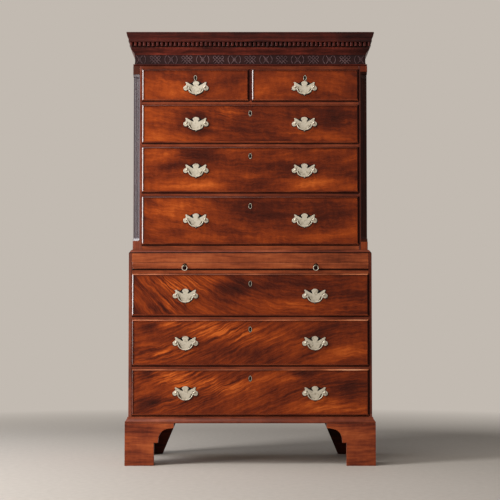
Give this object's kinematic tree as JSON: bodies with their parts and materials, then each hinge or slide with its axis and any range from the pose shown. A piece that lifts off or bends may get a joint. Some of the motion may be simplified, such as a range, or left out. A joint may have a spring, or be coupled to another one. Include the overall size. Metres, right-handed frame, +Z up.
{
  "type": "chest on chest",
  "caption": "Tall two-part chest of drawers with a dentilled cornice, fluted canted corners, a brushing slide and bracket feet.",
  "frame": {"origin": "on the floor, under the middle of the part's bounding box", "axes": "+Z up, -Y out of the drawer fronts towards the user, +X to the right seen from the front"},
  "size_m": [1.045, 0.5378, 1.82],
  "materials": {
    "mahogany": "polished reddish-brown mahogany with a soft wax sheen",
    "figured_mahogany": "polished figured mahogany drawer fronts; the drawer linings behind them are plain oak",
    "dark_mahogany": "darker polished mahogany with dust in the recesses",
    "back_wood": "unpolished softwood back boards, dry and browned",
    "brass": "pale worn cast brass, satin"
  },
  "bodies": {
    "case": {"upper_side_left": "mahogany", "upper_side_right": "mahogany", "upper_back": "back_wood", "upper_bottom": "mahogany", "upper_top": "mahogany", "upper_divider_1": "mahogany", "upper_divider_2": "mahogany", "upper_divider_3": "mahogany", "cornice": "dark_mahogany", "lower_side_left": "mahogany", "lower_side_right": "mahogany", "lower_back": "back_wood", "lower_base": "mahogany", "lower_top": "mahogany", "slide_divider": "mahogany", "lower_divider_1": "mahogany", "lower_divider_2": "mahogany", "foot_front_left": "mahogany", "foot_front_right": "mahogany", "foot_rear_left": "mahogany", "foot_rear_right": "mahogany"},
    "drawer_1_left": {"drawer_1_left": "figured_mahogany", "handle_plate_1_left": "brass"},
    "bail_1_left": {"bail_1_left": "brass"},
    "drawer_1_right": {"drawer_1_right": "figured_mahogany", "handle_plate_1_right": "brass"},
    "bail_1_right": {"bail_1_right": "brass"},
    "drawer_2": {"drawer_2": "figured_mahogany", "handle_plate_2_left": "brass", "handle_plate_2_right": "brass"},
    "bail_2_left": {"bail_2_left": "brass"},
    "bail_2_right": {"bail_2_right": "brass"},
    "drawer_3": {"drawer_3": "figured_mahogany", "handle_plate_3_left": "brass", "handle_plate_3_right": "brass"},
    "bail_3_left": {"bail_3_left": "brass"},
    "bail_3_right": {"bail_3_right": "brass"},
    "drawer_4": {"drawer_4": "figured_mahogany", "handle_plate_4_left": "brass", "handle_plate_4_right": "brass"},
    "bail_4_left": {"bail_4_left": "brass"},
    "bail_4_right": {"bail_4_right": "brass"},
    "drawer_5": {"drawer_5": "figured_mahogany", "handle_plate_5_left": "brass", "handle_plate_5_right": "brass"},
    "bail_5_left": {"bail_5_left": "brass"},
    "bail_5_right": {"bail_5_right": "brass"},
    "drawer_6": {"drawer_6": "figured_mahogany", "handle_plate_6_left": "brass", "handle_plate_6_right": "brass"},
    "bail_6_left": {"bail_6_left": "brass"},
    "bail_6_right": {"bail_6_right": "brass"},
    "drawer_7": {"drawer_7": "figured_mahogany", "handle_plate_7_left": "brass", "handle_plate_7_right": "brass"},
    "bail_7_left": {"bail_7_left": "brass"},
    "bail_7_right": {"bail_7_right": "brass"},
    "brushing_slide": {"brushing_slide": "mahogany"},
    "ring_left": {"ring_left": "brass"},
    "ring_right": {"ring_right": "brass"}
  },
  "joints": [
    {"name": "drawer_1_left_slide", "type": "slide", "parent": "case", "child": "drawer_1_left", "axis": [0, -1, 0], "range_m": [0, 0.36]},
    {"name": "bail_1_left_swing", "type": "hinge", "parent": "drawer_1_left", "child": "bail_1_left", "pos_m": [-0.22898, -0.24635, 1.59115], "axis": [-1, 0, 0], "range_deg": [0, 160]},
    {"name": "drawer_1_right_slide", "type": "slide", "parent": "case", "child": "drawer_1_right", "axis": [0, -1, 0], "range_m": [0, 0.36]},
    {"name": "bail_1_right_swing", "type": "hinge", "parent": "drawer_1_right", "child": "bail_1_right", "pos_m": [0.22898, -0.24635, 1.59115], "axis": [-1, 0, 0], "range_deg": [0, 160]},
    {"name": "drawer_2_slide", "type": "slide", "parent": "case", "child": "drawer_2", "axis": [0, -1, 0], "range_m": [0, 0.36]},
    {"name": "bail_2_left_swing", "type": "hinge", "parent": "drawer_2", "child": "bail_2_left", "pos_m": [-0.22898, -0.24635, 1.43869], "axis": [-1, 0, 0], "range_deg": [0, 160]},
    {"name": "bail_2_right_swing", "type": "hinge", "parent": "drawer_2", "child": "bail_2_right", "pos_m": [0.22898, -0.24635, 1.43869], "axis": [-1, 0, 0], "range_deg": [0, 160]},
    {"name": "drawer_3_slide", "type": "slide", "parent": "case", "child": "drawer_3", "axis": [0, -1, 0], "range_m": [0, 0.36]},
    {"name": "bail_3_left_swing", "type": "hinge", "parent": "drawer_3", "child": "bail_3_left", "pos_m": [-0.22898, -0.24635, 1.24095], "axis": [-1, 0, 0], "range_deg": [0, 160]},
    {"name": "bail_3_right_swing", "type": "hinge", "parent": "drawer_3", "child": "bail_3_right", "pos_m": [0.22898, -0.24635, 1.24095], "axis": [-1, 0, 0], "range_deg": [0, 160]},
    {"name": "drawer_4_slide", "type": "slide", "parent": "case", "child": "drawer_4", "axis": [0, -1, 0], "range_m": [0, 0.36]},
    {"name": "bail_4_left_swing", "type": "hinge", "parent": "drawer_4", "child": "bail_4_left", "pos_m": [-0.22898, -0.24635, 1.0299], "axis": [-1, 0, 0], "range_deg": [0, 160]},
    {"name": "bail_4_right_swing", "type": "hinge", "parent": "drawer_4", "child": "bail_4_right", "pos_m": [0.22898, -0.24635, 1.0299], "axis": [-1, 0, 0], "range_deg": [0, 160]},
    {"name": "drawer_5_slide", "type": "slide", "parent": "case", "child": "drawer_5", "axis": [0, -1, 0], "range_m": [0, 0.37]},
    {"name": "bail_5_left_swing", "type": "hinge", "parent": "drawer_5", "child": "bail_5_left", "pos_m": [-0.27101, -0.26435, 0.71139], "axis": [-1, 0, 0], "range_deg": [0, 160]},
    {"name": "bail_5_right_swing", "type": "hinge", "parent": "drawer_5", "child": "bail_5_right", "pos_m": [0.27101, -0.26435, 0.71139], "axis": [-1, 0, 0], "range_deg": [0, 160]},
    {"name": "drawer_6_slide", "type": "slide", "parent": "case", "child": "drawer_6", "axis": [0, -1, 0], "range_m": [0, 0.37]},
    {"name": "bail_6_left_swing", "type": "hinge", "parent": "drawer_6", "child": "bail_6_left", "pos_m": [-0.27101, -0.26435, 0.51288], "axis": [-1, 0, 0], "range_deg": [0, 160]},
    {"name": "bail_6_right_swing", "type": "hinge", "parent": "drawer_6", "child": "bail_6_right", "pos_m": [0.27101, -0.26435, 0.51288], "axis": [-1, 0, 0], "range_deg": [0, 160]},
    {"name": "drawer_7_slide", "type": "slide", "parent": "case", "child": "drawer_7", "axis": [0, -1, 0], "range_m": [0, 0.37]},
    {"name": "bail_7_left_swing", "type": "hinge", "parent": "drawer_7", "child": "bail_7_left", "pos_m": [-0.27101, -0.26435, 0.30406], "axis": [-1, 0, 0], "range_deg": [0, 160]},
    {"name": "bail_7_right_swing", "type": "hinge", "parent": "drawer_7", "child": "bail_7_right", "pos_m": [0.27101, -0.26435, 0.30406], "axis": [-1, 0, 0], "range_deg": [0, 160]},
    {"name": "brushing_slide_slide", "type": "slide", "parent": "case", "child": "brushing_slide", "axis": [0, -1, 0], "range_m": [0, 0.29]},
    {"name": "ring_left_swing", "type": "hinge", "parent": "brushing_slide", "child": "ring_left", "pos_m": [-0.27449, -0.26155, 0.83478], "axis": [-1, 0, 0], "range_deg": [0, 150]},
    {"name": "ring_right_swing", "type": "hinge", "parent": "brushing_slide", "child": "ring_right", "pos_m": [0.27449, -0.26155, 0.83478], "axis": [-1, 0, 0], "range_deg": [0, 150]}
  ]
}
